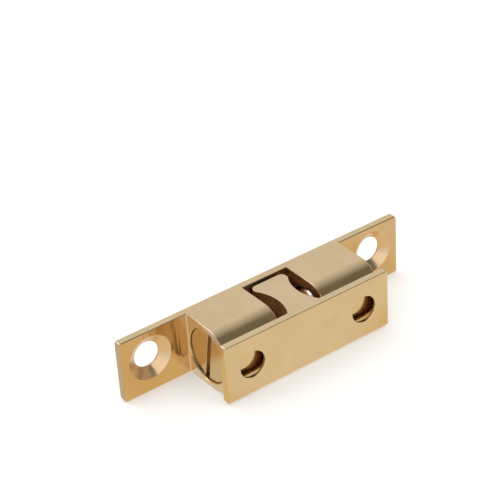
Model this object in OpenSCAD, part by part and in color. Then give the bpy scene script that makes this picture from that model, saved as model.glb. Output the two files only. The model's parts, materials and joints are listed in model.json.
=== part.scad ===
// Double ball catch, closed on its strike plate. Lengths are in millimetres.
// X runs along the catch, its mounting face lies at y = 0 and its front looks along -Y.
// Both ends hold the same pieces, so each piece is drawn once, on the right, and turned about Y for the left.

/* [Case] */
// Length of the case over both screw lugs
case_len = 60; // [56:0.5:80]
// Width of the case, from one long edge to the other
case_w = 12; // [11.6:0.1:15]
// Thickness of the back plate and its lugs
plate_t = 1.5; // [1.3:0.1:2.5]
// Rounding of the long edges of the back plate
plate_edge_r = 0.2; // [0.05:0.05:0.5]
// Rounding of the four corners of the back plate's outline
plate_corner_r = 0.6; // [0.3:0.1:2]
// Distance between the two lug holes
lug_hole_pitch = 48.5; // [46:0.5:50]
// Height of the lug holes above the middle of the plate
lug_hole_rise = 0.7; // [0:0.1:1]
// Diameter of the hole through each lug
lug_hole_d = 4.8; // [3.5:0.1:5.6]
// Straight hole wall left under each lug's countersink
lug_hole_land = 0.2; // [0.1:0.05:0.5]

/* [Barrel] */
// Length of the barrel between its end faces
barrel_len = 33; // [32:0.5:36]
// How far the barrel stands out from the plate
barrel_proj = 10.6; // [10.4:0.1:12]
// Radius of the barrel's two long front corners
barrel_corner_r = 4.2; // [2:0.1:4.8]
// Length of the window that takes the strike's tongue
window_len = 9.5; // [9:0.1:10]
// Thickness of the lip that stops each ball at the window
lip_t = 0.75; // [0.5:0.05:0.8]
// Diameter of the hole through each lip
lip_hole_d = 8.2; // [7.8:0.05:8.4]

/* [Thread and adjusting screws] */
// Diameter of the threaded stretch at each end of the bore
thread_d = 10; // [9.6:0.1:10.2]
// Length of the threaded stretch
thread_len = 3.2; // [2.8:0.1:4]
// Wall left between the thread and the back plate
thread_floor = 0.2; // [0.2:0.05:0.4]
// Chamfer round the mouth of the thread
mouth_chamfer = 0.15; // [0.05:0.05:0.15]
// Length of an adjusting screw
screw_len = 2.2; // [1.8:0.1:2.6]
// How far the screw sits inside the end of the barrel
screw_recess = 0.4; // [0.2:0.1:0.6]
// Chamfer round both ends of the screw
screw_chamfer = 0.2; // [0.1:0.05:0.4]
// Width of the screwdriver slot
slot_w = 1; // [0.6:0.1:1.4]
// Depth of the screwdriver slot
slot_depth = 1; // [0.6:0.1:1.4]
// Turn of the slot from upright, its top towards the plate at the right end
slot_turn = 10; // [-45:1:45]
// Radial clearance between thread and screw
thread_clear = 0.05; // [0.02:0.01:0.1]

/* [Balls and springs] */
// Diameter of each ball
ball_d = 9; // [8.6:0.05:9.2]
// Radial clearance between ball and bore
ball_clear = 0.1; // [0.05:0.01:0.2]
// Gap between each ball and the sides of the tongue's head
head_clear = 0.15; // [0.1:0.05:0.3]
// Thickness of the spring wire
wire_d = 0.6; // [0.4:0.05:0.65]
// Mean diameter of the spring's coils
coil_d = 8.2; // [7.6:0.1:8.4]
// Turns in each spring, its closed end turns included
coil_turns = 3.5; // [2.5:0.25:3.75]
// Gap left between the spring and what it bears on
spring_gap = 0.05; // [0.02:0.01:0.1]
// Gap left between the closed turns at a spring's ends
end_turn_gap = 0.02; // [0.01:0.005:0.03]

/* [Strike plate] */
// Length of the strike plate
strike_len = 35; // [33:0.5:50]
// Width of the strike plate
strike_w = 11.2; // [9.5:0.1:15]
// Thickness of the strike plate
strike_t = 1.4; // [1.2:0.1:2.5]
// Rounding of the strike plate's upright edges
strike_edge_r = 0.25; // [0.05:0.05:0.5]
// Rounding of the four corners of the strike plate's outline
strike_corner_r = 0.4; // [0.2:0.1:1.5]
// Gap between the strike plate and the front of the barrel
strike_gap = 0.1; // [0.05:0.05:0.5]
// Distance between the two strike holes
strike_hole_pitch = 24; // [20:0.5:25]
// Diameter of the hole through the strike
strike_hole_d = 5; // [3.5:0.1:6]
// Straight hole wall left under each of the strike's countersinks
strike_hole_land = 0.5; // [0.45:0.05:0.7]

/* [Tongue] */
// Width of the tongue across its head
head_w = 7; // [6.6:0.1:7.2]
// Width of the tongue at its waist
waist_w = 4.3; // [3.4:0.1:4.6]
// Distance of the waist from the strike plate
waist_h = 4.2; // [3.8:0.1:4.8]
// Radius of the hollow on each side of the tongue
flank_r = 8; // [7:0.1:10]
// Radius of the head's two corners
head_corner_r = 1; // [0.4:0.1:1.2]
// Gap between the end of the tongue and the back plate
tongue_gap = 0.5; // [0.3:0.1:1]

/* [Countersinks] */
// Diameter of every countersink at its mouth
countersink_d = 8.4; // [7:0.1:9]

/* [Hidden] */

// Facets of round shapes, and the overshoot of each cut
round_fn = 96;
cut = 1;

// Where the barrel's front, the strike's back and the bore's axis lie
barrel_front_y = -plate_t - barrel_proj;
strike_back_y = barrel_front_y - strike_gap;
thread_r = thread_d / 2;
bore_y = -plate_t - thread_floor - thread_r;

// The ball's bore reaches from the lip to the threaded stretch
ball_r = ball_d / 2;
bore_r = ball_r + ball_clear;
lip_x = window_len / 2 + lip_t;
thread_x = barrel_len / 2 - thread_len;

// The ball stands just clear of the tongue's head
ball_x = head_w / 2 + head_clear + ball_r;

// The screw lies in the thread, and the spring between it and the ball
screw_r = thread_r - thread_clear;
screw_face_x = barrel_len / 2 - screw_recess;
screw_inner_x = screw_face_x - screw_len;
wire_r = wire_d / 2;
coil_r = coil_d / 2;
coil_start_x = ball_x + sqrt(pow(ball_r + wire_r + spring_gap, 2) - coil_r * coil_r);
coil_end_x = screw_inner_x - wire_r - spring_gap;

// Closed turns at each end of a spring, and how finely its wire is drawn
end_turns = 0.75;
end_pitch = wire_d + end_turn_gap;
steps_per_turn = 28;
wire_sides = 10;

// Length of the tongue from the strike plate to its end
tongue_len = barrel_proj + strike_gap - tongue_gap;

// Along +X from the origin
module along_x(x, y) {
    translate([x, y, 0]) rotate([0, 90, 0]) children();
}

// A rectangle from [x0, y0] to [x1, y1] with four round corners
module round_rect(x0, y0, x1, y1, r) {
    translate([x0 + r, y0]) square([x1 - x0 - 2 * r, y1 - y0]);
    translate([x0, y0 + r]) square([x1 - x0, y1 - y0 - 2 * r]);
    for (x = [x0 + r, x1 - r], y = [y0 + r, y1 - r])
        translate([x, y]) circle(r = r, $fn = round_fn);
}

// Section of the back plate, Y to the right and Z up
module plate_section() {
    round_rect(-plate_t, -case_w / 2, 0, case_w / 2, plate_edge_r);
}

// Section of the barrel: flat sides as wide as the plate, round front corners and a flat front
module barrel_section() {
    r = barrel_corner_r;
    back = -plate_t / 2;
    translate([barrel_front_y + r, -case_w / 2])
        square([back - barrel_front_y - r, case_w]);
    translate([barrel_front_y, -case_w / 2 + r])
        square([r, case_w - 2 * r]);
    for (z = [-1, 1])
        translate([barrel_front_y + r, z * (case_w / 2 - r)]) circle(r = r, $fn = round_fn);
}

// Extrudes a section drawn in Y and Z along X, centred on x = 0
module section_along_x(length) {
    translate([-length / 2, 0, 0]) rotate([90, 0, 90]) linear_extrude(height = length) children();
}

// A block with a round-cornered outline in X and Z, from y0 to y1
module outline_block(length, width, r, y0, y1) {
    translate([0, y1, 0]) rotate([90, 0, 0]) linear_extrude(height = y1 - y0)
        round_rect(-length / 2, -width / 2, length / 2, width / 2, r);
}

// A screw hole with its countersink's mouth at y and its straight end at y + dir * t
module countersunk_hole(x, y, z, dir, d, t, land) {
    translate([x, y, z]) rotate([dir > 0 ? -90 : 90, 0, 0]) {
        translate([0, 0, -cut]) cylinder(d = d, h = t + 2 * cut, $fn = round_fn);
        cylinder(d1 = countersink_d, d2 = d, h = t - land, $fn = round_fn);
        translate([0, 0, -cut]) cylinder(d = countersink_d, h = cut, $fn = round_fn);
    }
}

// One half of the bore: lip hole, ball bore, thread and chamfered mouth
module half_bore() {
    end_x = barrel_len / 2;
    along_x(0, bore_y) cylinder(d = lip_hole_d, h = lip_x + cut, $fn = round_fn);
    along_x(lip_x, bore_y) cylinder(r = bore_r, h = thread_x - lip_x + cut, $fn = round_fn);
    along_x(thread_x, bore_y) cylinder(r = thread_r, h = thread_len + cut, $fn = round_fn);
    along_x(end_x - mouth_chamfer, bore_y)
        cylinder(r1 = thread_r, r2 = thread_r + mouth_chamfer, h = mouth_chamfer, $fn = round_fn);
}

// Turns something drawn on the right to the left end
module left_end() {
    rotate([0, 180, 0]) children();
}

// Case: back plate with two lugs, and the barrel with its bore and window
module catch_body() {
    color([0.82, 0.66, 0.40])
    difference() {
        union() {
            intersection() {
                section_along_x(case_len) plate_section();
                outline_block(case_len, case_w, plate_corner_r, -plate_t - cut, cut);
            }
            section_along_x(barrel_len) barrel_section();
        }
        half_bore();
        left_end() half_bore();
        translate([-window_len / 2, barrel_front_y - cut, -case_w / 2 - cut])
            cube([window_len, barrel_proj + cut, case_w + 2 * cut]);
        for (side = [-1, 1])
            countersunk_hole(side * lug_hole_pitch / 2, -plate_t, lug_hole_rise,
                             1, lug_hole_d, plate_t, lug_hole_land);
    }
}

// Steel ball of the right half
module ball() {
    translate([ball_x, bore_y, 0]) sphere(r = ball_r, $fn = round_fn);
}

module ball_right() {
    color([0.85, 0.86, 0.88]) ball();
}

module ball_left() {
    color([0.85, 0.86, 0.88]) left_end() ball();
}

// Height along the spring after some turns, with closed turns at both ends
function spring_rise(turn) =
    let (
        rise = coil_end_x - coil_start_x,
        active = coil_turns - 2 * end_turns,
        pitch = (rise - 2 * end_turns * end_pitch) / active
    )
    turn < end_turns ? turn * end_pitch
    : turn > coil_turns - end_turns ? rise - (coil_turns - turn) * end_pitch
    : end_turns * end_pitch + (turn - end_turns) * pitch;

// Ring of points round the wire after some turns
function wire_ring(turn) =
    [for (i = [0 : wire_sides - 1])
        let (
            a = 360 * turn,
            b = 360 * i / wire_sides,
            r = coil_r + wire_r * cos(b)
        )
        [coil_start_x + spring_rise(turn) + wire_r * sin(b), bore_y + r * cos(a), r * sin(a)]];

// Compression spring of the right half, one wire wound round the bore's axis
module spring() {
    rings = ceil(coil_turns * steps_per_turn);
    points = [for (k = [0 : rings]) each wire_ring(coil_turns * k / rings)];
    sides = [for (k = [0 : rings - 1], i = [0 : wire_sides - 1])
        let (j = (i + 1) % wire_sides)
        [k * wire_sides + i, k * wire_sides + j, (k + 1) * wire_sides + j, (k + 1) * wire_sides + i]];
    start = [[for (i = [wire_sides - 1 : -1 : 0]) i]];
    end = [[for (i = [0 : wire_sides - 1]) rings * wire_sides + i]];
    polyhedron(points = points, faces = concat(start, sides, end), convexity = 8);
}

module spring_right() {
    color([0.62, 0.63, 0.65]) spring();
}

module spring_left() {
    color([0.62, 0.63, 0.65]) left_end() spring();
}

// Slotted adjusting screw of the right half, chamfered at both ends
module adjusting_screw() {
    difference() {
        along_x(screw_inner_x, bore_y) {
            cylinder(r1 = screw_r - screw_chamfer, r2 = screw_r, h = screw_chamfer, $fn = round_fn);
            translate([0, 0, screw_chamfer])
                cylinder(r = screw_r, h = screw_len - 2 * screw_chamfer, $fn = round_fn);
            translate([0, 0, screw_len - screw_chamfer])
                cylinder(r1 = screw_r, r2 = screw_r - screw_chamfer, h = screw_chamfer, $fn = round_fn);
        }
        translate([screw_face_x - slot_depth, bore_y, 0]) rotate([-slot_turn, 0, 0])
            translate([0, -slot_w / 2, -screw_r - cut])
                cube([slot_depth + cut, slot_w, 2 * screw_r + 2 * cut]);
    }
}

module adjusting_screw_right() {
    color([0.80, 0.62, 0.36]) adjusting_screw();
}

module adjusting_screw_left() {
    color([0.80, 0.62, 0.36]) left_end() adjusting_screw();
}

// Outline of the tongue, with its root at y = 0: a head with round corners on a hollow-sided neck
module tongue_outline() {
    r = head_corner_r;
    difference() {
        union() {
            translate([-head_w / 2, -strike_t / 2]) square([head_w, tongue_len + strike_t / 2 - r]);
            translate([-head_w / 2 + r, 0]) square([head_w - 2 * r, tongue_len]);
            for (side = [-1, 1])
                translate([side * (head_w / 2 - r), tongue_len - r]) circle(r = r, $fn = round_fn);
        }
        for (side = [-1, 1])
            translate([side * (waist_w / 2 + flank_r), waist_h]) circle(r = flank_r, $fn = 2 * round_fn);
    }
}

// Strike: plate and tongue in one extruded piece, with countersinks on the tongue's side
module strike_plate() {
    color([0.84, 0.69, 0.45])
    difference() {
        intersection() {
            translate([0, strike_back_y, -strike_w / 2]) linear_extrude(height = strike_w) {
                tongue_outline();
                round_rect(-strike_len / 2, -strike_t, strike_len / 2, 0, strike_edge_r);
            }
            outline_block(strike_len, strike_w, strike_corner_r,
                          strike_back_y - strike_t - cut, strike_back_y + tongue_len + cut);
        }
        for (side = [-1, 1])
            countersunk_hole(side * strike_hole_pitch / 2, strike_back_y, 0,
                             -1, strike_hole_d, strike_t, strike_hole_land);
    }
}

catch_body();
ball_left();
ball_right();
spring_left();
spring_right();
adjusting_screw_left();
adjusting_screw_right();
strike_plate();
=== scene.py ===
"""Dresses a brass double ball catch, closed on its strike plate, and sets its stage."""
import json
import math

import bmesh
import bpy
from bpy.props import FloatProperty, FloatVectorProperty, IntProperty, PointerProperty
from bpy.types import Operator, Panel, PropertyGroup
from mathutils import Matrix, Vector


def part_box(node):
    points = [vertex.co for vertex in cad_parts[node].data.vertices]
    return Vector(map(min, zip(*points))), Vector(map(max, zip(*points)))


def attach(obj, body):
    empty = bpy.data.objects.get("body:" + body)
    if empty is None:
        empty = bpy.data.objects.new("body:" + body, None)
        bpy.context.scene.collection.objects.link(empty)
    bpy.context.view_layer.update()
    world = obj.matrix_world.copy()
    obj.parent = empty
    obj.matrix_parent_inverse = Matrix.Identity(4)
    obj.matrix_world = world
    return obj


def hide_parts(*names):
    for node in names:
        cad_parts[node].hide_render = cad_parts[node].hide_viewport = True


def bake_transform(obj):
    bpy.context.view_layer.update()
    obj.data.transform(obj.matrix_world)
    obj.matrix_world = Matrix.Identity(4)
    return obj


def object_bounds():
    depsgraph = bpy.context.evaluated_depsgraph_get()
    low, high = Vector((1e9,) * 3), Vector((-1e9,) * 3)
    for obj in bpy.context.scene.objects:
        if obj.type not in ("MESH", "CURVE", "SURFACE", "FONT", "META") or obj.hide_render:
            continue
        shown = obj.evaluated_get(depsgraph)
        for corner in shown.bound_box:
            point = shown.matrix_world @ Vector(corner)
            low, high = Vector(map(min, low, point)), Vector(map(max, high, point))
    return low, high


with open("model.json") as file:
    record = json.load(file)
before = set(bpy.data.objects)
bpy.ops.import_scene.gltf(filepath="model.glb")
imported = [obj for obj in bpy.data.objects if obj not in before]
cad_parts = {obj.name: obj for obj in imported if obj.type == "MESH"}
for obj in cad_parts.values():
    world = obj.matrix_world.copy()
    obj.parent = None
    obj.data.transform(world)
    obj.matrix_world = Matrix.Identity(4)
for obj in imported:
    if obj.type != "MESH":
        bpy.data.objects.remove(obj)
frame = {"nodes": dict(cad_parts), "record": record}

CAD_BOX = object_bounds()

bl_info = {
    "name": "Double Ball Catch",
    "version": (1, 0, 0),
    "blender": (4, 5, 0),
    "location": "View3D > Sidebar > Ball Catch",
    "description": "Finishes a brass double ball catch: eased edges, threads, springs, balls and stage",
    "category": "Object",
}

# Pieces are worked in millimetres, because their edges are eased by tenths of one
MM = 0.001

# Each side's name, which its nodes and bodies share, and the sign of its X
SIDES = {"left": -1, "right": 1}


def box_mm(node):
    """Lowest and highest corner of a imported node, in millimetres."""
    low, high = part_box(node)
    return low / MM, high / MM


def hole_mm(mount):
    """How far the right hole of a pair lies out and up from the middle, in millimetres."""
    holes = next(m for m in frame["record"]["mounts"] if m["name"] == mount)
    return holes["dims"]["spacing_x_mm"] / 2, holes["pos_m"][2] / MM


# Where the right half's pieces lie, in millimetres
BALL_LOW, BALL_HIGH = box_mm("ball_right")
SCREW_LOW, SCREW_HIGH = box_mm("adjusting_screw_right")
SPRING_LOW, SPRING_HIGH = box_mm("spring_right")
BORE_Y = (BALL_LOW.y + BALL_HIGH.y) / 2
BALL_RADIUS = (BALL_HIGH.x - BALL_LOW.x) / 2
SCREW_RADIUS = (SCREW_HIGH.z - SCREW_LOW.z) / 2
SPRING_RADIUS = SPRING_HIGH.z
LUG_HOLE = hole_mm("case_screws")
STRIKE_HOLE = hole_mm("strike_screws")

# No countersink reaches further from the middle of its hole, in millimetres
SINK_REACH = 4.4

# Patches of polish, and a cutter's waves, in a metre of drawn brass
CLOUDS = 260.0
WAVES = 900.0

# Depths of the marks in the metal, in metres
LINE_DEPTH = 0.000004
SINK_RING_DEPTH = 0.000016
HOLE_RING_DEPTH = 0.000003
SCREW_RING_DEPTH = 0.000012
WIRE_MARK_DEPTH = 0.000005

# How squarely a face looks along an axis that it is said to face
SQUARELY = 0.9


def colour_setting(name, description, default):
    """A setting that holds a colour."""
    return FloatVectorProperty(
        name=name, description=description, default=default, subtype="COLOR", size=3, min=0, max=1)


def length_setting(name, description, default):
    """A setting that holds a length, in metres."""
    return FloatProperty(
        name=name, description=description, default=default, unit="LENGTH", subtype="DISTANCE")


class CatchFinish(PropertyGroup):
    """Colours and surface of the brass and the steel."""

    case_colour: colour_setting("Case brass", "Colour of the case", (0.87, 0.655, 0.385))
    # The lugs' fronts take a more orange brass, a painted reflection of brass mirrored in brass
    lug_reflection_colour: colour_setting("Lug brass", "Colour of the milled fronts of the lugs", (0.83, 0.575, 0.32))
    # The barrel's ends take a paler, pinker brass: painted light that brightens what they mirror
    end_lit_colour: colour_setting("End brass", "Colour of the milled ends of the barrel", (0.86, 0.78, 0.79))
    # A darker brass: on the plates' corners painted shade that dims their glint, in the slots painted
    # shade, and on the sawn ends a darker tone
    sawn_and_shade_colour: colour_setting(
        "Sawn brass", "Colour of the plates' corners, the sawn ends and the slots", (0.66, 0.51, 0.36))
    sink_colour: colour_setting(
        "Countersink brass", "Colour of the lugs' countersinks and milled fillets", (0.93, 0.72, 0.53))
    # The window's inside takes a darker brass, painted shade in the hollow
    window_shade_colour: colour_setting("Window brass", "Colour of the window's milled sides", (0.72, 0.51, 0.35))
    # The tongue's hollow sides take a more orange brass, a painted reflection of the brass around them in
    # the window
    flank_reflection_colour: colour_setting("Tongue brass", "Colour of the tongue's hollow sides", (0.86, 0.54, 0.24))
    # The bore takes a dark brass, painted shade in the hollow of the bore and its mouth
    bore_shade_colour: colour_setting(
        "Bored brass", "Colour of the bore, dulled by cutting oil", (0.45, 0.31, 0.20))
    # The strike's holes take a dark brass, painted shade inside them
    hole_shade_colour: colour_setting("Hole brass", "Colour of the strike's holes", (0.34, 0.23, 0.15))
    strike_colour: colour_setting("Strike brass", "Colour of the strike plate", (0.875, 0.66, 0.40))
    screw_colour: colour_setting("Screw brass", "Colour of the adjusting screws", (0.76, 0.62, 0.46))
    steel_colour: colour_setting("Ball steel", "Colour of the balls", (0.90, 0.91, 0.92))
    wire_colour: colour_setting("Spring steel", "Colour of the spring wire", (0.50, 0.51, 0.53))
    brass_roughness: FloatProperty(
        name="Brass roughness", description="How far the brass blurs what it mirrors",
        default=0.18, min=0, max=1, subtype="FACTOR")
    grain_width: length_setting("Grain width", "Width of the drawn lines in the brass", 0.00012)
    grain_length: length_setting("Grain length", "Length of the drawn lines in the brass", 0.006)
    ring_width: length_setting(
        "Ring width", "Distance between the turning marks of screws and strike", 0.00022)
    sink_ring_width: length_setting(
        "Countersink rings", "Distance between the cutter's marks in the countersinks", 0.00042)


class CatchShape(PropertyGroup):
    """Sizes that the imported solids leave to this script."""

    case_edge: length_setting("Case edges", "Width of the eased edges of the case", 0.00015)
    corner_fillet: length_setting(
        "Corner fillet", "Radius of the milled fillet between lug and barrel", 0.00022)
    mouth_chamfer: length_setting("Mouth chamfer", "Width of the chamfer at the ends of the bore", 0.00015)
    strike_edge: length_setting("Strike edges", "Width of the eased edges of the strike", 0.00014)
    screw_edge: length_setting("Screw edges", "Width of the eased edges of the adjusting screws", 0.0001)
    thread_pitch: length_setting("Thread pitch", "Pitch of the thread of screw and barrel", 0.00075)
    thread_depth: length_setting("Thread depth", "Height of the thread's ridge", 0.00035)
    thread_crest: length_setting("Thread crest", "Width of the top of the thread's ridge", 0.0001)
    thread_clearance: length_setting("Thread clearance", "Radial gap between screw and barrel", 0.00005)
    thread_length: length_setting("Threaded length", "Length of the threaded stretch of the barrel", 0.0032)
    barrel_length: length_setting("Barrel length", "Distance between the barrel's end faces", 0.033)
    plate_thickness: length_setting("Plate thickness", "Thickness of the case's plate", 0.0015)
    strike_thickness: length_setting("Strike thickness", "Thickness of the strike's plate", 0.0014)
    collar_length: length_setting(
        "Collar length", "Length of the plain collar at the screw's face", 0.00045)
    slot_width: length_setting("Slot width", "Width of the screwdriver slot", 0.001)
    slot_turn: FloatProperty(
        name="Slot turn", description="Turn of the right slot from upright, its top towards the plate",
        default=math.radians(10), unit="ROTATION", subtype="ANGLE")
    slot_depth: length_setting("Slot depth", "Depth of the screwdriver slot", 0.001)
    wire_width: length_setting("Spring wire", "Thickness of the spring wire", 0.0006)
    coil_turns: FloatProperty(
        name="Spring turns", description="Turns of each spring, its closed ends included",
        default=3.5, min=2)
    end_turns: FloatProperty(
        name="Closed turns", description="Closed turns at each end of a spring", default=0.75, min=0)
    ball_cuts: IntProperty(
        name="Ball cuts", description="Faces along each side of a ball's net", default=22, min=4, max=60)


class CatchStage(PropertyGroup):
    """Camera, light and floor."""

    camera_place: FloatVectorProperty(
        name="Camera", description="Where the camera stands", size=3,
        default=(-0.14027, -0.19815, 0.16600), unit="LENGTH", subtype="TRANSLATION")
    camera_azimuth: FloatProperty(
        name="Azimuth", description="Turn of the camera round the catch",
        default=math.radians(-34.991), unit="ROTATION", subtype="ANGLE")
    camera_elevation: FloatProperty(
        name="Elevation", description="How steeply the camera looks down",
        default=math.radians(32.567), unit="ROTATION", subtype="ANGLE")
    camera_roll: FloatProperty(
        name="Roll", description="Turn of the camera about its own line of sight",
        default=math.radians(-3.789), unit="ROTATION", subtype="ANGLE")
    camera_lens: FloatProperty(
        name="Lens", description="Focal length of the camera on a 36 mm sensor, in millimetres",
        default=121.32, min=20, max=300)
    floor_colour: colour_setting("Floor", "Colour of the floor", (0.86, 0.84, 0.80))
    floor_lift: FloatProperty(
        name="Floor lift", description="Brightness that the floor gains in the camera's eye alone",
        default=0.28, min=0)
    floor_mirrored: colour_setting(
        "Mirrored floor", "Colour of the floor as the metal mirrors it", (0.77, 0.725, 0.60))
    # The floor's glow beside the lugs is painted light, seen only in the metal
    floor_glow: colour_setting(
        "Floor glow", "Colour of the floor in the brass's own glow, beside the lugs", (0.72, 0.60, 0.36))
    # The floor's shade under the barrel is painted, seen only in the metal
    floor_shaded: colour_setting(
        "Shaded floor", "Colour of the floor under the barrel as the metal mirrors it", (0.30, 0.215, 0.13))
    wall_colour: colour_setting(
        "Walls", "Colour of the walls as the metal mirrors them", (0.695, 0.705, 0.715))
    front_colour: colour_setting(
        "Front", "Colour of the room's open front at the right", (0.150, 0.141, 0.110))
    screen_colour: colour_setting(
        "Screen", "Colour of the bright screen behind the camera", (0.95, 0.86, 0.70))
    room_light: FloatProperty(
        name="Room light", description="Brightness of the light that the room throws on the floor",
        default=0.88, min=0)
    key_place: FloatVectorProperty(
        name="Key place", description="Where the softbox behind the left end stands", size=3,
        default=(-0.165, 0.25, 0.40), unit="LENGTH", subtype="TRANSLATION")
    key_power: FloatProperty(
        name="Key", description="Power of the softbox behind the left end",
        default=0.7, min=0, unit="POWER")
    fill_place: FloatVectorProperty(
        name="Fill place", description="Where the softbox at the right stands", size=3,
        default=(0.43, -0.05, 0.25), unit="LENGTH", subtype="TRANSLATION")
    fill_power: FloatProperty(
        name="Fill", description="Power of the softbox at the right",
        default=0.15, min=0, unit="POWER")


def settings():
    """The scene's finish, shape and stage settings."""
    scene = bpy.context.scene
    return scene.catch_finish, scene.catch_shape, scene.catch_stage


# Node trees

def add(tree, kind, inputs=None, **options):
    """A new node with its options set, and each input given a value or a link."""
    node = tree.nodes.new(kind)
    for key, value in options.items():
        setattr(node, key, value)
    for key, value in (inputs or {}).items():
        if isinstance(value, bpy.types.NodeSocket):
            tree.links.new(value, node.inputs[key])
        else:
            node.inputs[key].default_value = value
    return node


def calc(tree, operation, a, b=0.0, c=0.0):
    """Output of a math node."""
    return add(tree, "ShaderNodeMath", {0: a, 1: b, 2: c}, operation=operation).outputs[0]


def vector_calc(tree, operation, a, b=(0, 0, 0)):
    """Output of a vector math node, its length where that is what it works out."""
    node = add(tree, "ShaderNodeVectorMath", {0: a, 1: b}, operation=operation)
    return node.outputs["Value" if operation == "LENGTH" else "Vector"]


def parted(tree, vector):
    """The X, Y and Z of a vector."""
    return add(tree, "ShaderNodeSeparateXYZ", {0: vector}).outputs


def joined(tree, x, y, z=0.0):
    """A vector of three numbers."""
    return add(tree, "ShaderNodeCombineXYZ", {0: x, 1: y, 2: z}).outputs[0]


def ramp(tree, value, start, end, low=0.0, high=1.0, kind="SMOOTHSTEP"):
    """A value that runs from low at start to high at end, and stays level beyond them."""
    inputs = {"Value": value, "From Min": start, "From Max": end, "To Min": low, "To Max": high}
    return add(tree, "ShaderNodeMapRange", inputs, interpolation_type=kind).outputs[0]


def mixed(tree, share, first, second):
    """A colour between two, each of them a link or three numbers."""
    ends = [end if isinstance(end, bpy.types.NodeSocket) else [*end, 1] for end in (first, second)]
    return add(tree, "ShaderNodeMix", {0: share, 6: ends[0], 7: ends[1]}, data_type="RGBA").outputs[2]


def object_place(tree):
    """Where a point lies on its piece, in metres."""
    return tree.nodes.new("ShaderNodeTexCoord").outputs["Object"]


def new_material(name):
    """An empty material, its tree, and a Principled BSDF joined to its output."""
    material = bpy.data.materials.new(name)
    material.use_nodes = True
    tree = material.node_tree
    tree.nodes.clear()
    shader = tree.nodes.new("ShaderNodeBsdfPrincipled")
    output = tree.nodes.new("ShaderNodeOutputMaterial")
    tree.links.new(shader.outputs[0], output.inputs["Surface"])
    return material, tree, shader


def bare_metal(tree, shader, colour, roughness, normal=None):
    """Makes a shader bare metal of some colour and roughness, with marks if it is given their normal."""
    shader.inputs["Metallic"].default_value = 1.0
    tree.links.new(colour, shader.inputs["Base Color"])
    tree.links.new(roughness, shader.inputs["Roughness"])
    if normal is not None:
        tree.links.new(normal, shader.inputs["Normal"])


def noise(tree, place, scale, detail=2.0, roughness=0.5):
    """Noise between 0 and 1 over a place scaled by a number or by three."""
    if not isinstance(scale, (int, float)):
        place = vector_calc(tree, "MULTIPLY", place, tuple(scale))
        scale = 1.0
    node = add(tree, "ShaderNodeTexNoise", {
        "Vector": place, "Scale": scale, "Detail": detail, "Roughness": roughness})
    return node.outputs["Fac"]


def spread(tree, value, low, high):
    """A value from the middle range of a noise, spread from low to high."""
    return ramp(tree, value, 0.3, 0.7, low, high, "LINEAR")


def tone(tree, value, colour, darker, lighter):
    """A colour that runs from darker to lighter shares of itself."""
    return mixed(tree, value, [c * darker for c in colour], [min(1, c * lighter) for c in colour])


def bump(tree, height, depth, strength):
    """A bump normal for marks of some depth in metres."""
    return add(tree, "ShaderNodeBump", {
        "Height": height, "Distance": depth, "Strength": strength}).outputs["Normal"]


def drawn_brass(name, colour, along=(1, 0, 0), rough_by=1.0, waves=0.0):
    """Satin brass, drawn in lines along an axis and clouded by polishing, with a cutter's waves if any."""
    finish = settings()[0]
    material, tree, shader = new_material(name)
    place = object_place(tree)
    across, run = 1 / finish.grain_width, 1 / finish.grain_length
    lines = noise(tree, place, [run if a else across for a in along], detail=3.0, roughness=0.6)
    clouds = noise(tree, place, CLOUDS, detail=3.0)
    broad = noise(tree, place, [WAVES / 10 if a else WAVES for a in along], detail=1.0)
    height = calc(tree, "MULTIPLY_ADD", broad, waves, lines)
    most = finish.brass_roughness * rough_by
    polished = spread(tree, clouds, low=most - 0.07, high=most)
    bare_metal(
        tree, shader, tone(tree, spread(tree, clouds, 0, 1), colour, darker=0.965, lighter=1.03),
        calc(tree, "MULTIPLY_ADD", lines, 0.10, polished), bump(tree, height, LINE_DEPTH, strength=0.35))
    return material


def turned_brass(name, colour, centre, plane, ring, depth, mirrored=False):
    """Brass with turning marks, rings of some depth round a centre in a plane given as a mask."""
    finish = settings()[0]
    material, tree, shader = new_material(name)
    place = object_place(tree)
    at = place
    if mirrored:
        x, y, z = parted(tree, place)
        at = joined(tree, calc(tree, "ABSOLUTE", x), y, z)
    offset = vector_calc(tree, "MULTIPLY", vector_calc(tree, "SUBTRACT", at, centre), plane)
    distance = vector_calc(tree, "LENGTH", offset)
    # The rings wander by up to 0.6 of their distance, and wear away in patches
    wandering = calc(tree, "MULTIPLY_ADD", noise(tree, place, scale=900.0), ring * 0.6, distance)
    rings = calc(tree, "SINE", calc(tree, "MULTIPLY", wandering, math.tau / ring))
    worn = noise(tree, place, scale=500.0, detail=3.0)
    height = calc(tree, "MULTIPLY", rings, spread(tree, worn, low=0.2, high=1.0))
    least = finish.brass_roughness
    bare_metal(
        tree, shader, tone(tree, worn, colour, darker=0.94, lighter=1.05),
        spread(tree, worn, low=least, high=least + 0.1), bump(tree, height, depth, strength=0.5))
    return material


def polished_steel(name, colour):
    """Bright ball steel with the faintest haze."""
    material, tree, shader = new_material(name)
    haze = noise(tree, object_place(tree), scale=1500.0, detail=4.0)
    bare_metal(
        tree, shader, tone(tree, haze, colour, darker=0.97, lighter=1.03),
        spread(tree, haze, low=0.05, high=0.10))
    return material


def drawn_wire(name, colour):
    """Spring wire with marks of the drawing die along its length."""
    material, tree, shader = new_material(name)
    run = add(tree, "ShaderNodeAttribute", attribute_name="wire_run")
    marks = noise(tree, run.outputs["Vector"], scale=(200.0, 14.0, 14.0), detail=3.0)
    bare_metal(
        tree, shader, tone(tree, marks, colour, darker=0.8, lighter=1.15),
        spread(tree, marks, low=0.25, high=0.45), bump(tree, marks, WIRE_MARK_DEPTH, strength=0.4))
    return material


# Meshes

def new_object(name, data):
    """An object in the scene that holds a mesh, a lamp or a camera."""
    made = bpy.data.objects.new(name, data)
    bpy.context.scene.collection.objects.link(made)
    return made


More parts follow.
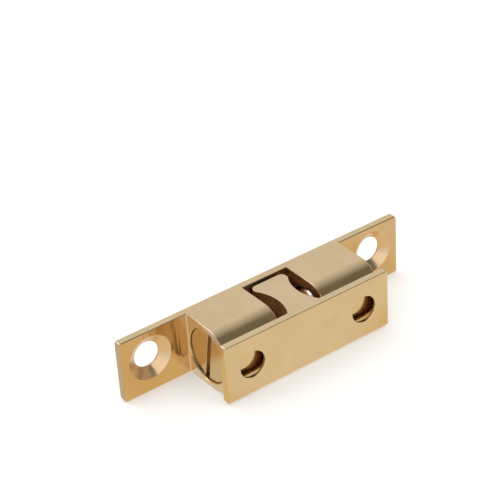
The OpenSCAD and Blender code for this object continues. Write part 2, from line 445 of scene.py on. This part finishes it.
def object_of(name, work):
    """An object that holds what was worked in a bmesh, which is freed."""
    mesh = bpy.data.meshes.new(name)
    work.to_mesh(mesh)
    work.free()
    return new_object(name, mesh)


def applied(thing):
    """The object with all its modifiers worked into a plain mesh."""
    bpy.context.view_layer.update()
    graph = bpy.context.evaluated_depsgraph_get()
    mesh = bpy.data.meshes.new_from_object(thing.evaluated_get(graph), depsgraph=graph)
    thing.modifiers.clear()
    thing.data = mesh
    return thing


def to_metres(thing):
    """Scales a mesh that was worked in millimetres."""
    thing.data.transform(Matrix.Scale(MM, 4))
    return thing


def merged_copy(node, name):
    """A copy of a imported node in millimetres, its triangles joined into whole faces."""
    same_point, same_plane = 0.0005, math.radians(0.3)
    work = bmesh.new()
    work.from_mesh(frame["nodes"][node].data)
    bmesh.ops.scale(work, vec=(1 / MM,) * 3, verts=work.verts)
    bmesh.ops.remove_doubles(work, verts=work.verts, dist=same_point)
    bmesh.ops.dissolve_limit(work, angle_limit=same_plane, verts=work.verts, edges=work.edges)
    return object_of(name, work)


def ease_edges(thing, width, least=math.radians(50), share=lambda place: 1.0):
    """Rounds the convex edges of a mesh that turn by at least so much, and keeps the rest crisp.

    The width is in millimetres, and the share of it that an edge gets is worked out from its middle."""
    crisp = math.radians(30)
    work = bmesh.new()
    work.from_mesh(thing.data)
    weight = work.edges.layers.float.new("bevel_weight_edge")
    for edge in work.edges:
        turn = edge.calc_face_angle_signed(0)
        edge[weight] = share((edge.verts[0].co + edge.verts[1].co) / 2) if turn > least else 0.0
        edge.smooth = turn > least or abs(turn) < crisp
    for face in work.faces:
        face.smooth = True
    work.to_mesh(thing.data)
    work.free()
    bevel = thing.modifiers.new("eased_edges", "BEVEL")
    bevel.limit_method = "WEIGHT"
    bevel.width = width
    bevel.segments = 3
    bevel.loop_slide = False
    bevel.use_clamp_overlap = False
    normals = thing.modifiers.new("even_normals", "WEIGHTED_NORMAL")
    normals.keep_sharp = True
    normals.weight = 90
    return applied(thing)


def give_materials(thing, materials, choose):
    """Gives each face of a mesh the material that choose names for its centre and normal."""
    names = list(materials)
    for material in materials.values():
        thing.data.materials.append(material)
    for face in thing.data.polygons:
        face.material_index = names.index(choose(face.center, face.normal))


def cut(thing, tool, operation="DIFFERENCE"):
    """Cuts a mesh with another, or joins them, and removes the other."""
    change = thing.modifiers.new("cut", "BOOLEAN")
    change.operation = operation
    change.solver = "EXACT"
    change.object = tool
    applied(thing)
    bpy.data.objects.remove(tool)
    return thing


def lathe(name, outline, steps=96):
    """A closed solid turned about the bore's axis from an outline of (x, radius) points."""
    work = bmesh.new()
    angles = [math.tau * i / steps for i in range(steps)]
    rings = []
    for x, radius in outline:
        ring = [(x, BORE_Y + radius * math.cos(a), radius * math.sin(a)) for a in angles]
        rings.append([work.verts.new(point) for point in ring])
    for first, second in zip(rings, rings[1:]):
        for i in range(steps):
            j = (i + 1) % steps
            work.faces.new((first[i], first[j], second[j], second[i]))
    work.faces.new(list(reversed(rings[0])))
    work.faces.new(rings[-1])
    bmesh.ops.recalc_face_normals(work, faces=work.faces)
    return object_of(name, work)


def block(name, low, high):
    """A cutting block between two corners."""
    work = bmesh.new()
    bmesh.ops.create_cube(work, size=1.0)
    low, high = Vector(low), Vector(high)
    bmesh.ops.scale(work, vec=high - low, verts=work.verts)
    bmesh.ops.translate(work, vec=(low + high) / 2, verts=work.verts)
    return object_of(name, work)


def fillet_strip(name, x, y, radius, half_height):
    """A strip with a hollow front that fills the corner at x and y, sunk a little into both its walls."""
    sunk, steps = 0.2, 8
    angles = [math.pi * (1 - i / steps / 2) for i in range(steps + 1)]
    arc = [(x + radius * (1 + math.cos(a)), y - radius * (1 - math.sin(a))) for a in angles]
    outline = [(x - sunk, y + sunk), (x - sunk, y - radius), *arc, (x + radius, y + sunk)]
    work = bmesh.new()
    face = work.faces.new([work.verts.new((*corner, -half_height)) for corner in outline])
    made = bmesh.ops.extrude_face_region(work, geom=[face])["geom"]
    raised = [part for part in made if isinstance(part, bmesh.types.BMVert)]
    bmesh.ops.translate(work, vec=(0, 0, 2 * half_height), verts=raised)
    bmesh.ops.recalc_face_normals(work, faces=work.faces)
    strip = object_of(name, work)
    strip.data.shade_smooth()
    strip.data.set_sharp_from_angle(angle=math.radians(30))
    return strip


def turned_to(thing, side):
    """Turns a mesh made for the right half about Y, if it is for the left."""
    if side < 0:
        thing.data.transform(Matrix.Rotation(math.pi, 4, "Y"))
    return thing


# Geometry nodes

def new_tree(name, *numbers):
    """A geometry node group that takes named numbers and a material, its inputs and their identifiers."""
    tree = bpy.data.node_groups.new(name, "GeometryNodeTree")
    ids = {}
    for label in (*numbers, "Material"):
        kind = "NodeSocketMaterial" if label == "Material" else "NodeSocketFloat"
        ids[label] = tree.interface.new_socket(label, in_out="INPUT", socket_type=kind).identifier
    tree.interface.new_socket("Geometry", in_out="OUTPUT", socket_type="NodeSocketGeometry")
    return tree, tree.nodes.new("NodeGroupInput").outputs, ids


def end_tree(tree, geometry, material):
    """Ends a tree in real, smooth geometry with its material."""
    smooth = add(tree, "GeometryNodeSetShadeSmooth", {"Geometry": geometry})
    real = add(tree, "GeometryNodeRealizeInstances", {"Geometry": smooth.outputs[0]})
    painted = add(tree, "GeometryNodeSetMaterial", {
        "Geometry": real.outputs[0], "Material": material})
    add(tree, "NodeGroupOutput", {0: painted.outputs[0]})


def helix_line(tree, points, turns, radius, rise):
    """A curve of many points that winds right-handed round Z, and rises as told."""
    line = add(tree, "GeometryNodeCurvePrimitiveLine")
    fine = add(tree, "GeometryNodeResampleCurve", {"Curve": line.outputs[0], "Count": points})
    angle = calc(tree, "MULTIPLY", turns, math.tau)
    x = calc(tree, "MULTIPLY", calc(tree, "COSINE", angle), radius)
    y = calc(tree, "MULTIPLY", calc(tree, "SINE", angle), radius)
    return add(tree, "GeometryNodeSetPosition", {
        "Geometry": fine.outputs[0], "Position": joined(tree, x, y, rise)}).outputs[0]


def laid_on_bore(tree, geometry, start, axis_y):
    """Lays what winds round Z along the bore, so that its rise runs in X from start."""
    x, y, z = parted(tree, add(tree, "GeometryNodeInputPosition").outputs[0])
    turned = joined(tree, calc(tree, "ADD", z, start), calc(tree, "ADD", x, axis_y), y)
    return add(tree, "GeometryNodeSetPosition", {"Geometry": geometry, "Position": turned}).outputs[0]


def thread_tree():
    """Tree of a thread's ridge, which runs out into the wall at both ends."""
    tree, given, ids = new_tree(
        "catch_thread", "Start", "Turns", "Pitch", "Wall Radius", "Depth", "Crest", "Run Out", "Axis Y")
    points_per_turn, thinnest = 72, 0.04
    share = add(tree, "GeometryNodeSplineParameter").outputs["Factor"]
    turns = calc(tree, "MULTIPLY", share, given["Turns"])
    rise = calc(tree, "MULTIPLY", turns, given["Pitch"])
    points = calc(tree, "MULTIPLY", given["Turns"], points_per_turn)
    wound = helix_line(tree, points, turns, given["Wall Radius"], rise)
    left = calc(tree, "SUBTRACT", given["Turns"], turns)
    near_end = calc(tree, "DIVIDE", calc(tree, "MINIMUM", turns, left), given["Run Out"])
    grown = calc(tree, "MAXIMUM", calc(tree, "MINIMUM", near_end, 1.0), thinnest)
    sized = add(tree, "GeometryNodeSetCurveRadius", {"Curve": wound, "Radius": grown})
    level = add(tree, "GeometryNodeSetCurveNormal", {"Curve": sized.outputs[0]}, mode="Z_UP")
    # The flanks stand 60 degrees apart, and the ridge's foot is sunk into the wall by half its depth
    sunk, slope = 0.5, 2 * math.tan(math.radians(30))
    height = calc(tree, "ABSOLUTE", given["Depth"])
    foot = calc(tree, "MULTIPLY", given["Depth"], -sunk)
    foot_width = calc(tree, "MULTIPLY_ADD", height, (1 + sunk) * slope, given["Crest"])
    corners = []
    for out, width, side in ((foot, foot_width, -1), (foot, foot_width, 1),
                             (given["Depth"], given["Crest"], 1), (given["Depth"], given["Crest"], -1)):
        corners.append(joined(tree, out, calc(tree, "MULTIPLY", width, side / 2)))
    ridge = add(tree, "GeometryNodeCurvePrimitiveQuadrilateral", {
        f"Point {i + 1}": corner for i, corner in enumerate(corners)}, mode="POINTS")
    swept = add(tree, "GeometryNodeCurveToMesh", {
        "Curve": level.outputs[0], "Profile Curve": ridge.outputs[0], "Fill Caps": True})
    laid = laid_on_bore(tree, swept.outputs[0], given["Start"], given["Axis Y"])
    end_tree(tree, laid, given["Material"])
    return tree, ids


def spring_tree():
    """Tree of a compression spring with closed ends, wound of one wire."""
    tree, given, ids = new_tree(
        "catch_spring", "Start", "Length", "Turns", "End Turns", "Coil Radius", "Wire Radius", "Axis Y")
    points_per_turn, wire_sides = 64, 16
    share = add(tree, "GeometryNodeSplineParameter").outputs["Factor"]
    turns = calc(tree, "MULTIPLY", share, given["Turns"])
    # The closed turns lie a little more than a wire apart, and the rest share what is left
    end_pitch = calc(tree, "MULTIPLY", given["Wire Radius"], 2.05)
    closed = calc(tree, "MULTIPLY", given["End Turns"], 2.0)
    open_turns = calc(tree, "SUBTRACT", given["Turns"], closed)
    open_length = calc(tree, "SUBTRACT", given["Length"], calc(tree, "MULTIPLY", closed, end_pitch))
    pitch = calc(tree, "DIVIDE", open_length, open_turns)
    beyond = calc(tree, "MAXIMUM", calc(tree, "SUBTRACT", turns, given["End Turns"]), 0.0)
    in_open = calc(tree, "MINIMUM", beyond, open_turns)
    in_closed = calc(tree, "SUBTRACT", turns, in_open)
    rise = calc(tree, "MULTIPLY_ADD", in_open, pitch, calc(tree, "MULTIPLY", in_closed, end_pitch))
    points = calc(tree, "MULTIPLY", given["Turns"], points_per_turn)
    wound = helix_line(tree, points, turns, given["Coil Radius"], rise)
    wire = add(tree, "GeometryNodeCurvePrimitiveCircle", {
        "Resolution": wire_sides, "Radius": given["Wire Radius"]})
    along = add(tree, "GeometryNodeSplineParameter").outputs["Length"]
    run = add(tree, "GeometryNodeStoreNamedAttribute", {
        "Geometry": wound, "Name": "wire_run", "Value": along}, data_type="FLOAT", domain="POINT")
    level = add(tree, "GeometryNodeSetCurveNormal", {"Curve": run.outputs[0]}, mode="Z_UP")
    swept = add(tree, "GeometryNodeCurveToMesh", {
        "Curve": level.outputs[0], "Profile Curve": wire.outputs[0], "Fill Caps": True})
    laid = laid_on_bore(tree, swept.outputs[0], given["Start"], given["Axis Y"])
    end_tree(tree, laid, given["Material"])
    return tree, ids


def grown_from(name, built, values):
    """A plain mesh in millimetres that a node group makes of the given values."""
    tree, ids = built
    thing = new_object(name, bpy.data.meshes.new(name))
    modifier = thing.modifiers.new("grown", "NODES")
    modifier.node_group = tree
    for label, value in values.items():
        modifier[ids[label]] = value
    return applied(thing)


def thread_ridge(name, built, start, length, wall_radius, depth, material):
    """The ridge of one thread from start, outward for a positive depth and inward for a negative one."""
    shape = settings()[1]
    pitch = shape.thread_pitch / MM
    run_out_turns = 0.4
    return grown_from(name, built, {
        "Start": start, "Turns": length / pitch, "Pitch": pitch, "Wall Radius": wall_radius, "Depth": depth,
        "Crest": shape.thread_crest / MM, "Run Out": run_out_turns, "Axis Y": BORE_Y, "Material": material})


def thread_start():
    """Where the ridge of the barrel's right thread starts."""
    shape = settings()[1]
    return (shape.barrel_length / 2 - shape.thread_length + shape.thread_pitch / 4) / MM


def thread_end():
    """Where both ridges of the right thread end, behind the screw's collar."""
    shape = settings()[1]
    return SCREW_HIGH.x - (shape.collar_length + shape.thread_pitch / 3) / MM


# Pieces

def is_turned(place, normal, hole):
    """Whether a face lies in a screw hole or its countersink."""
    off = math.hypot(abs(place.x) - hole[0], place.z - hole[1])
    return off < SINK_REACH and abs(normal.y) < 0.95


def is_bored(place, normal):
    """Whether a face lies in the bore or its mouth's chamfer, and not across it."""
    reach = SCREW_RADIUS + 0.25
    off = math.hypot(place.y - BORE_Y, place.z)
    inward = normal.y * (BORE_Y - place.y) - normal.z * place.z
    return off < reach and inward > 0.8 * off


def is_slanted(normal):
    """Whether a face slants between an end and the top or the bottom, as a plate's corner does."""
    return min(abs(normal.x), abs(normal.z)) > 0.2


class CATCH_OT_case(Operator):
    """Eases the edges of the case, finishes its faces with some painted shade and reflections, and cuts its
    threads
    """

    bl_idname = "catch.case"
    bl_label = "Case"

    def execute(self, context):
        finish, shape, _ = settings()
        colour, across = finish.case_colour, (0, 0, 1)
        case = merged_copy("catch_body", "case")
        barrel_end, plate_front = shape.barrel_length / 2 / MM, -shape.plate_thickness / MM
        case_half_width = box_mm("catch_body")[1].z
        materials = {
            "drawn": drawn_brass("case_drawn_brass", colour),
            # The lugs' fronts: a more orange brass, a painted reflection of the brass beside them
            "lug": drawn_brass("case_lug_brass", finish.lug_reflection_colour, across, rough_by=0.8, waves=55.0),
            "fillet": drawn_brass("case_fillet_brass", finish.sink_colour, across),
            # The barrel's ends: a paler, pinker brass, painted light that brightens what they mirror
            "end": drawn_brass("case_end_brass", finish.end_lit_colour, across, rough_by=0.9),
            # The plate's slanted corners and sawn ends: a darker brass, on the corners painted shade that
            # dims their glint
            "sawn": drawn_brass("case_sawn_brass", finish.sawn_and_shade_colour, (0, 1, 0), rough_by=1.8),
            "front": drawn_brass("case_front_brass", colour, rough_by=0.6),
            # The window's inside: a darker brass, painted shade in the hollow
            "cut": drawn_brass("case_cut_brass", finish.window_shade_colour, across, rough_by=1.7),
            # The bore and its mouth: a dark brass, painted shade in the hollow
            "bored": drawn_brass("case_bored_brass", finish.bore_shade_colour, (0, 1, 1), rough_by=1.2),
            "turned": turned_brass(
                "case_turned_brass", finish.sink_colour, (LUG_HOLE[0] * MM, 0, LUG_HOLE[1] * MM), (1, 0, 1),
                finish.sink_ring_width, SINK_RING_DEPTH, mirrored=True)}

        def choose(place, normal):
            on_plate = place.y > plate_front - 0.1
            if is_turned(place, normal, LUG_HOLE):
                return "turned"
            if is_bored(place, normal):
                return "bored"
            if normal.y < -SQUARELY and on_plate:
                return "lug" if abs(place.x) > barrel_end else "cut"
            if normal.y < -SQUARELY:
                return "front"
            if is_slanted(normal) and on_plate:
                return "sawn"
            if abs(normal.x) > SQUARELY and abs(place.x) < barrel_end - 1:
                return "cut"
            if abs(normal.x) > SQUARELY:
                return "sawn" if on_plate else "end"
            return "drawn"

        give_materials(case, materials, choose)
        ease_edges(case, shape.case_edge / MM)
        to_metres(case)
        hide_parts("catch_body")
        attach(case, "case")
        built = thread_tree()
        wall = SCREW_RADIUS + shape.thread_clearance / MM
        start, end = thread_start(), thread_end()
        for name, side in SIDES.items():
            # The barrel's thread shares the bore's dark brass, painted shade
            ridge = thread_ridge(
                f"barrel_thread_{name}", built, start, end - start, wall, -shape.thread_depth / MM,
                materials["bored"])
            # The cutter that milled the lug left a fillet, which the mouth of the bore cuts through
            fillet = fillet_strip(
                f"corner_fillet_{name}", barrel_end, plate_front, shape.corner_fillet / MM,
                case_half_width - shape.case_edge / MM)
            mouth = wall + shape.mouth_chamfer / MM
            cut(fillet, lathe("mouth_tool", [(barrel_end - 1, mouth), (barrel_end + 1, mouth)]))
            fillet.data.materials.append(materials["fillet"])
            for thing in (ridge, fillet):
                to_metres(turned_to(thing, side))
                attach(thing, "case")
        return {"FINISHED"}


class CATCH_OT_strike(Operator):
    """Eases the edges of the strike plate and finishes its faces, with painted shade and reflections on
    some
    """

    bl_idname = "catch.strike"
    bl_label = "Strike plate"

    def execute(self, context):
        finish, shape, _ = settings()
        colour = finish.strike_colour
        strike = merged_copy("strike_plate", "strike")
        tongue_foot = box_mm("strike_plate")[0].y + shape.strike_thickness / MM
        materials = {
            "drawn": drawn_brass("strike_drawn_brass", colour),
            "cut": drawn_brass("strike_cut_brass", colour, (0, 1, 0), rough_by=1.1),
            # The strike's rounded corners: a darker brass, painted shade that dims their glint
            "corner": drawn_brass("strike_corner_brass", finish.sawn_and_shade_colour, (0, 1, 0), rough_by=2.2),
            # The tongue's hollow sides: a more orange brass, a painted reflection of the brass around them
            "flank": drawn_brass("strike_flank_brass", finish.flank_reflection_colour, (0, 0, 1), rough_by=2.2),
            # The strike's holes: a dark brass, painted shade inside them
            "turned": turned_brass(
                "strike_turned_brass", finish.hole_shade_colour, (STRIKE_HOLE[0] * MM, 0, STRIKE_HOLE[1] * MM),
                (1, 0, 1), finish.ring_width, HOLE_RING_DEPTH, mirrored=True)}

        def choose(place, normal):
            if is_turned(place, normal, STRIKE_HOLE):
                return "turned"
            if abs(normal.z) > SQUARELY:
                return "cut"
            if is_slanted(normal) and place.y < tongue_foot:
                return "corner"
            return "flank" if place.y > tongue_foot and abs(normal.x) > 0.2 else "drawn"

        give_materials(strike, materials, choose)
        # The tongue's edges are nearly sharp, as the extrusion was sawn there
        ease_edges(
            strike, shape.strike_edge / MM, share=lambda place: 0.4 if place.y > tongue_foot else 1.0)
        to_metres(strike)
        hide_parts("strike_plate")
        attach(strike, "strike")
        return {"FINISHED"}


class CATCH_OT_screws(Operator):
    """Turns, threads and slots the two adjusting screws"""

    bl_idname = "catch.screws"
    bl_label = "Adjusting screws"

    def execute(self, context):
        finish, shape, _ = settings()
        material = turned_brass(
            "screw_turned_brass", finish.screw_colour, (0, BORE_Y * MM, 0), (0, 1, 1), finish.ring_width,
            SCREW_RING_DEPTH)
        # The slot takes a darker brass, painted shade in its hollow
        slot_material = drawn_brass("screw_slot_brass", finish.sawn_and_shade_colour, (0, 0, 1), rough_by=1.6)
        built = thread_tree()
        inner, face = SCREW_LOW.x, SCREW_HIGH.x
        pitch = shape.thread_pitch / MM
        depth = shape.thread_depth / MM
        collar = shape.collar_length / MM
        core_radius = SCREW_RADIUS - depth
        half_slot = shape.slot_width / MM / 2
        slot_floor = face - shape.slot_depth / MM
        eased_from = face - 0.6 * shape.slot_depth / MM
        # The screw's ridge runs half a pitch from the barrel's
        steps = math.ceil((inner - thread_start()) / pitch)
        first = thread_start() + (steps + 0.5) * pitch
        across = Vector((0, math.cos(shape.slot_turn), -math.sin(shape.slot_turn)))

        def choose(place, normal):
            off = abs((place - Vector((0, BORE_Y, 0))).dot(across))
            below_face = slot_floor - 0.01 < place.x < face - 0.001
            return "slot" if below_face and off < half_slot + 0.01 else "turned"

        # In so many steps no corner of the rim comes near the ends of the slot, where the edges are eased
        rim_steps = 94
        for name, side in SIDES.items():
            screw = lathe(f"screw_{name}", [
                (inner, core_radius), (face - collar - depth / 2, core_radius),
                (face - collar, SCREW_RADIUS), (face, SCREW_RADIUS)], rim_steps)
            screw.data.materials.append(material)
            ridge = thread_ridge(
                f"screw_thread_{name}", built, first, thread_end() - first, core_radius, depth, material)
            cut(screw, ridge, "UNION")
            tool = block("slot_tool", (slot_floor, -half_slot, -2 * SCREW_RADIUS),
                         (face + 1, half_slot, 2 * SCREW_RADIUS))
            tool.data.transform(Matrix.Rotation(-shape.slot_turn, 4, "X"))
            tool.data.transform(Matrix.Translation((0, BORE_Y, 0)))
            cut(screw, tool)
            screw.data.materials.clear()
            give_materials(screw, {"turned": material, "slot": slot_material}, choose)
            # The thread's edges turn by 60 degrees, and stay sharp
            ease_edges(screw, shape.screw_edge / MM, math.radians(62),
                       lambda place: 1.0 if place.x > eased_from else 0.0)
            to_metres(turned_to(screw, side))
            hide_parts(f"adjusting_screw_{name}")
            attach(screw, f"{name}_screw")
        return {"FINISHED"}


class CATCH_OT_balls(Operator):
    """Makes the two polished balls of even faces, without poles"""

    bl_idname = "catch.balls"
    bl_label = "Balls"

    def execute(self, context):
        finish, shape, _ = settings()
        material = polished_steel("ball_polished_steel", finish.steel_colour)
        centre = Vector(((BALL_LOW.x + BALL_HIGH.x) / 2, BORE_Y, 0))
        for name, side in SIDES.items():
            work = bmesh.new()
            bmesh.ops.create_cube(work, size=2.0)
            bmesh.ops.subdivide_edges(work, edges=work.edges, cuts=shape.ball_cuts, use_grid_fill=True)
            for vert in work.verts:
                # Evens out the faces before they are pushed onto the sphere
                spaced = Vector([math.tan(c * math.pi / 4) for c in vert.co])
                vert.co = centre + spaced.normalized() * BALL_RADIUS
            for face in work.faces:
                face.smooth = True
            ball = to_metres(turned_to(object_of(f"steel_ball_{name}", work), side))
            ball.data.materials.append(material)
            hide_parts(f"ball_{name}")
            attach(ball, f"{name}_ball")
        return {"FINISHED"}


class CATCH_OT_springs(Operator):
    """Winds the two springs between the balls and their screws"""

    bl_idname = "catch.springs"
    bl_label = "Springs"

    def execute(self, context):
        finish, shape, _ = settings()
        material = drawn_wire("spring_drawn_wire", finish.wire_colour)
        built = spring_tree()
        wire = shape.wire_width / MM / 2
        start, end = SPRING_LOW.x + wire, SPRING_HIGH.x - wire
        for name, side in SIDES.items():
            spring = grown_from(f"coil_spring_{name}", built, {
                "Start": start, "Length": end - start, "Turns": shape.coil_turns,
                "End Turns": shape.end_turns, "Coil Radius": SPRING_RADIUS - wire, "Wire Radius": wire,
                "Axis Y": BORE_Y, "Material": material})
            to_metres(turned_to(spring, side))
            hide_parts(f"spring_{name}")
            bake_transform(spring)
        return {"FINISHED"}


def floor_material(stage, shape):
    """Pale matt floor: near white with the soft shadow to the camera, and a warm white to the metal."""
    material, tree, shader = new_material("stage_floor")
    shader.inputs["Roughness"].default_value = 0.9
    shader.inputs["Specular IOR Level"].default_value = 0.0
    shader.inputs["Base Color"].default_value = [*stage.floor_colour, 1]
    path = tree.nodes.new("ShaderNodeLightPath").outputs
    seen = calc(tree, "MULTIPLY", path["Is Camera Ray"], stage.floor_lift)
    lift = add(tree, "ShaderNodeEmission", {"Strength": seen})
    lifted = add(tree, "ShaderNodeAddShader", {0: shader.outputs[0], 1: lift.outputs[0]})
    x, y, _ = parted(tree, object_place(tree))
    out = calc(tree, "ABSOLUTE", x)
    # In the corners between the lugs and the barrel the floor that the metal mirrors takes a painted glow
    # of brass-coloured light
    corner_x, corner_y = 0.022, -0.008
    glow_near, glow_far = 0.006, 0.014
    from_corner = joined(tree, calc(tree, "SUBTRACT", out, corner_x), calc(tree, "SUBTRACT", y, corner_y))
    glow = ramp(tree, vector_calc(tree, "LENGTH", from_corner), glow_near, glow_far, 1.0, 0.0)
    tint = mixed(tree, glow, stage.floor_mirrored, stage.floor_glow)
    # Under the barrel the floor that the metal mirrors takes a painted shade
    shade_inside, shade_outside = -0.0015, 0.0003
    box_low, box_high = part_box("catch_body")
    middle = (box_low.y + box_high.y) / 2
    past_end = calc(tree, "SUBTRACT", out, shape.barrel_length / 2)
    past_side = calc(tree, "SUBTRACT", calc(tree, "ABSOLUTE", calc(tree, "SUBTRACT", y, middle)),
                     box_high.y - middle)
    shade = ramp(
        tree, calc(tree, "MAXIMUM", past_end, past_side), shade_inside, shade_outside, 1.0, 0.0)
    floor = mixed(tree, shade, tint, stage.floor_shaded)
    mirrored = add(tree, "ShaderNodeEmission", {"Color": floor})
    both = add(tree, "ShaderNodeMixShader", {
        0: path["Is Glossy Ray"], 1: lifted.outputs[0], 2: mirrored.outputs[0]})
    output = next(n for n in tree.nodes if n.type == "OUTPUT_MATERIAL")
    tree.links.new(both.outputs[0], output.inputs["Surface"])
    return material


def white_room(stage):
    """A white room with an open, dark front, which the camera sees as plain white."""
    world = bpy.data.worlds.new("white_room")
    bpy.context.scene.world = world
    world.use_nodes = True
    tree = world.node_tree
    tree.nodes.clear()
    way = tree.nodes.new("ShaderNodeTexCoord").outputs["Generated"]
    # What the metal mirrors grows darker from behind the catch over the top to the open front
    x, y, _ = parted(tree, way)
    depth = calc(tree, "POWER", ramp(tree, y, start=-0.2, end=0.6, kind="LINEAR"), 0.7)
    walls = mixed(tree, depth, stage.front_colour, stage.wall_colour)
    # A bright screen closes the left of the front
    leftward = ramp(tree, x, start=0.22, end=0.12)
    forward = ramp(tree, y, start=-0.45, end=-0.62)
    screened = calc(tree, "MULTIPLY", leftward, forward)
    room = mixed(tree, screened, walls, stage.screen_colour)
    path = tree.nodes.new("ShaderNodeLightPath").outputs
    plain = calc(tree, "MAXIMUM", path["Is Camera Ray"], stage.room_light)
    white = add(tree, "ShaderNodeBackground", {"Color": [1, 1, 1, 1], "Strength": plain})
    mirrored = add(tree, "ShaderNodeBackground", {"Color": room})
    back = add(tree, "ShaderNodeMixShader", {
        0: path["Is Glossy Ray"], 1: white.outputs[0], 2: mirrored.outputs[0]})
    out = tree.nodes.new("ShaderNodeOutputWorld")
    tree.links.new(back.outputs[0], out.inputs["Surface"])


def softbox(name, place, power, size):
    """A square lamp that faces the catch."""
    lamp = bpy.data.lights.new(name, "AREA")
    lamp.size = size
    lamp.energy = power
    thing = new_object(name, lamp)
    thing.location = place
    thing.rotation_euler = (-Vector(place)).to_track_quat("-Z", "Y").to_euler()


def camera_at(stage):
    """The camera, stood and turned as the settings say."""
    data = bpy.data.cameras.new("camera")
    data.sensor_width = 36
    data.lens = stage.camera_lens
    data.clip_start = 0.01
    turn, tilt = stage.camera_azimuth, stage.camera_elevation
    ahead = Vector((-math.sin(turn) * math.cos(tilt), math.cos(turn) * math.cos(tilt), -math.sin(tilt)))
    right = Matrix.Rotation(-stage.camera_roll, 3, ahead) @ Vector((math.cos(turn), math.sin(turn), 0))
    turned = Matrix((right, right.cross(ahead), -ahead)).transposed().to_4x4()
    camera = new_object("camera", data)
    camera.matrix_world = Matrix.Translation(stage.camera_place) @ turned
    bpy.context.scene.camera = camera


class CATCH_OT_stage(Operator):
    """Lays the floor and sets the room, the lamps and the camera"""

    bl_idname = "catch.stage"
    bl_label = "Stage"

    def execute(self, context):
        _, shape, stage = settings()
        # The floor lies a hair under the catch, so that no two faces share a plane
        level = CAD_BOX[0].z - 0.00002
        half = 1.5
        mesh = bpy.data.meshes.new("floor")
        mesh.from_pydata(
            [(-half, -half, level), (half, -half, level), (half, half, level), (-half, half, level)], [],
            [(0, 1, 2, 3)])
        floor = new_object("floor", mesh)
        mesh.materials.append(floor_material(stage, shape))
        white_room(stage)
        softbox("softbox_key", stage.key_place, stage.key_power, size=0.5)
        softbox("softbox_fill", stage.fill_place, stage.fill_power, size=0.25)
        context.scene.view_settings.view_transform = "Standard"
        camera_at(stage)
        return {"FINISHED"}


class CATCH_PT_sidebar(Panel):
    """Settings and pieces of the ball catch"""

    bl_idname = "CATCH_PT_sidebar"
    bl_label = "Ball Catch"
    bl_space_type = "VIEW_3D"
    bl_region_type = "UI"
    bl_category = "Ball Catch"

    def draw(self, context):
        for group in settings():
            column = self.layout.column(align=True)
            for name in group.__annotations__:
                column.prop(group, name)
        for operator in OPERATORS:
            self.layout.operator(operator.bl_idname)


OPERATORS = (
    CATCH_OT_case, CATCH_OT_strike, CATCH_OT_screws, CATCH_OT_balls, CATCH_OT_springs, CATCH_OT_stage)
GROUPS = {"catch_finish": CatchFinish, "catch_shape": CatchShape, "catch_stage": CatchStage}


def register():
    """Registers the classes and hangs the settings on the scene."""
    for kind in (*GROUPS.values(), *OPERATORS, CATCH_PT_sidebar):
        bpy.utils.register_class(kind)
    for name, group in GROUPS.items():
        setattr(bpy.types.Scene, name, PointerProperty(type=group))


def unregister():
    """Takes back what register did."""
    for name in GROUPS:
        delattr(bpy.types.Scene, name)
    for kind in (CATCH_PT_sidebar, *reversed(OPERATORS), *GROUPS.values()):
        bpy.utils.unregister_class(kind)


def main():
    """Makes the pieces and the stage in order."""
    register()
    for step in (bpy.ops.catch.case, bpy.ops.catch.strike, bpy.ops.catch.screws, bpy.ops.catch.balls,
                 bpy.ops.catch.springs, bpy.ops.catch.stage):
        step()


if __name__ == "__main__":
    main()
